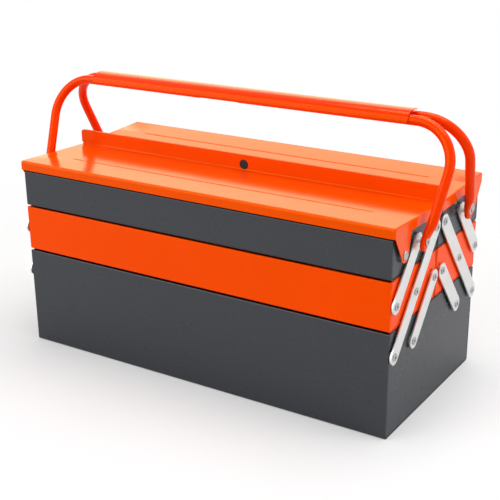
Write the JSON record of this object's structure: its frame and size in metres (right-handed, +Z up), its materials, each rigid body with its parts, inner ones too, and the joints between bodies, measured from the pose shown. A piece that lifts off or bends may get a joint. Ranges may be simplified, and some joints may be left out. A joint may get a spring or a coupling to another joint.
{
  "type": "cantilever tool box",
  "caption": "Steel tool box: deep base, two tiers of trays that swing out front and back on riveted arms, hinged lids with a padlock flange, and a pair of tube handles.",
  "frame": {"origin": "centre of the flat underside that the box stands on", "axes": "+X along the box, +Y from front to back, +Z up"},
  "size_m": [0.4968, 0.212, 0.3023],
  "materials": {
    "orange_enamel": "glossy stoved enamel",
    "grey_enamel": "satin stoved enamel",
    "handle_enamel": "glossy stoved enamel",
    "zinc_arms": "zinc plated, slightly dull",
    "rivet_steel": "zinc plated, bright"
  },
  "bodies": {
    "base": {"base_wrap": "grey_enamel", "base_left_end": "grey_enamel", "base_right_end": "grey_enamel", "base_rivets": "rivet_steel", "base_washers": "rivet_steel"},
    "front_middle_tray": {"front_middle_wrap": "orange_enamel", "front_middle_left_end": "orange_enamel", "front_middle_right_end": "orange_enamel", "front_middle_rivets": "rivet_steel", "front_middle_washers": "rivet_steel"},
    "front_upper_tray": {"front_upper_wrap": "grey_enamel", "front_upper_left_end": "grey_enamel", "front_upper_right_end": "grey_enamel", "front_upper_rivets": "rivet_steel", "front_upper_washers": "rivet_steel", "front_lid_pins": "rivet_steel", "front_lid_washers": "rivet_steel"},
    "front_long_arms": {"front_long_arm_left": "zinc_arms", "front_long_arm_right": "zinc_arms"},
    "front_short_arms": {"front_short_arm_left": "zinc_arms", "front_short_arm_right": "zinc_arms"},
    "front_handle": {"front_handle_arm_left": "zinc_arms", "front_handle_arm_right": "zinc_arms", "front_handle_tube": "handle_enamel", "handle_grip": "handle_enamel"},
    "front_lid": {"front_lid": "orange_enamel"},
    "back_middle_tray": {"back_middle_wrap": "orange_enamel", "back_middle_left_end": "orange_enamel", "back_middle_right_end": "orange_enamel", "back_middle_rivets": "rivet_steel", "back_middle_washers": "rivet_steel"},
    "back_upper_tray": {"back_upper_wrap": "grey_enamel", "back_upper_left_end": "grey_enamel", "back_upper_right_end": "grey_enamel", "back_upper_rivets": "rivet_steel", "back_upper_washers": "rivet_steel", "back_lid_pins": "rivet_steel", "back_lid_washers": "rivet_steel"},
    "back_long_arms": {"back_long_arm_left": "zinc_arms", "back_long_arm_right": "zinc_arms"},
    "back_short_arms": {"back_short_arm_left": "zinc_arms", "back_short_arm_right": "zinc_arms"},
    "back_handle": {"back_handle_arm_left": "zinc_arms", "back_handle_arm_right": "zinc_arms", "back_handle_tube": "handle_enamel"},
    "back_lid": {"back_lid": "orange_enamel"}
  },
  "joints": [
    {"name": "front_open", "type": "hinge", "parent": "base", "child": "front_long_arms", "pos_m": [0, -0.097, 0.087], "axis": [1, 0, 0], "range_deg": [0, 81]},
    {"name": "front_middle_level", "type": "hinge", "parent": "front_long_arms", "child": "front_middle_tray", "pos_m": [0, -0.0535, 0.139], "axis": [1, 0, 0], "range_deg": [-81, 0]},
    {"name": "front_upper_level", "type": "hinge", "parent": "front_long_arms", "child": "front_upper_tray", "pos_m": [0, -0.01, 0.191], "axis": [1, 0, 0], "range_deg": [-81, 0]},
    {"name": "front_short_swing", "type": "hinge", "parent": "base", "child": "front_short_arms", "pos_m": [0, -0.0535, 0.087], "axis": [1, 0, 0], "range_deg": [0, 81]},
    {"name": "front_handle_swing", "type": "hinge", "parent": "front_middle_tray", "child": "front_handle", "pos_m": [0, -0.097, 0.139], "axis": [1, 0, 0], "range_deg": [0, 81]},
    {"name": "front_lid_hinge", "type": "hinge", "parent": "front_upper_tray", "child": "front_lid", "pos_m": [0, -0.082, 0.185], "axis": [1, 0, 0], "range_deg": [0, 90]},
    {"name": "back_open", "type": "hinge", "parent": "base", "child": "back_long_arms", "pos_m": [0, 0.097, 0.087], "axis": [-1, 0, 0], "range_deg": [0, 81]},
    {"name": "back_middle_level", "type": "hinge", "parent": "back_long_arms", "child": "back_middle_tray", "pos_m": [0, 0.0535, 0.139], "axis": [-1, 0, 0], "range_deg": [-81, 0]},
    {"name": "back_upper_level", "type": "hinge", "parent": "back_long_arms", "child": "back_upper_tray", "pos_m": [0, 0.01, 0.191], "axis": [-1, 0, 0], "range_deg": [-81, 0]},
    {"name": "back_short_swing", "type": "hinge", "parent": "base", "child": "back_short_arms", "pos_m": [0, 0.0535, 0.087], "axis": [-1, 0, 0], "range_deg": [0, 81]},
    {"name": "back_handle_swing", "type": "hinge", "parent": "back_middle_tray", "child": "back_handle", "pos_m": [0, 0.097, 0.139], "axis": [-1, 0, 0], "range_deg": [0, 81]},
    {"name": "back_lid_hinge", "type": "hinge", "parent": "back_upper_tray", "child": "back_lid", "pos_m": [0, 0.082, 0.185], "axis": [-1, 0, 0], "range_deg": [0, 90]}
  ],
  "couplings": [
    {"joint": "front_middle_level", "follows": "front_open", "ratio": -1},
    {"joint": "front_upper_level", "follows": "front_open", "ratio": -1},
    {"joint": "front_short_swing", "follows": "front_open", "ratio": 1},
    {"joint": "front_handle_swing", "follows": "front_open", "ratio": 1},
    {"joint": "back_middle_level", "follows": "back_open", "ratio": -1},
    {"joint": "back_upper_level", "follows": "back_open", "ratio": -1},
    {"joint": "back_short_swing", "follows": "back_open", "ratio": 1},
    {"joint": "back_handle_swing", "follows": "back_open", "ratio": 1}
  ]
}
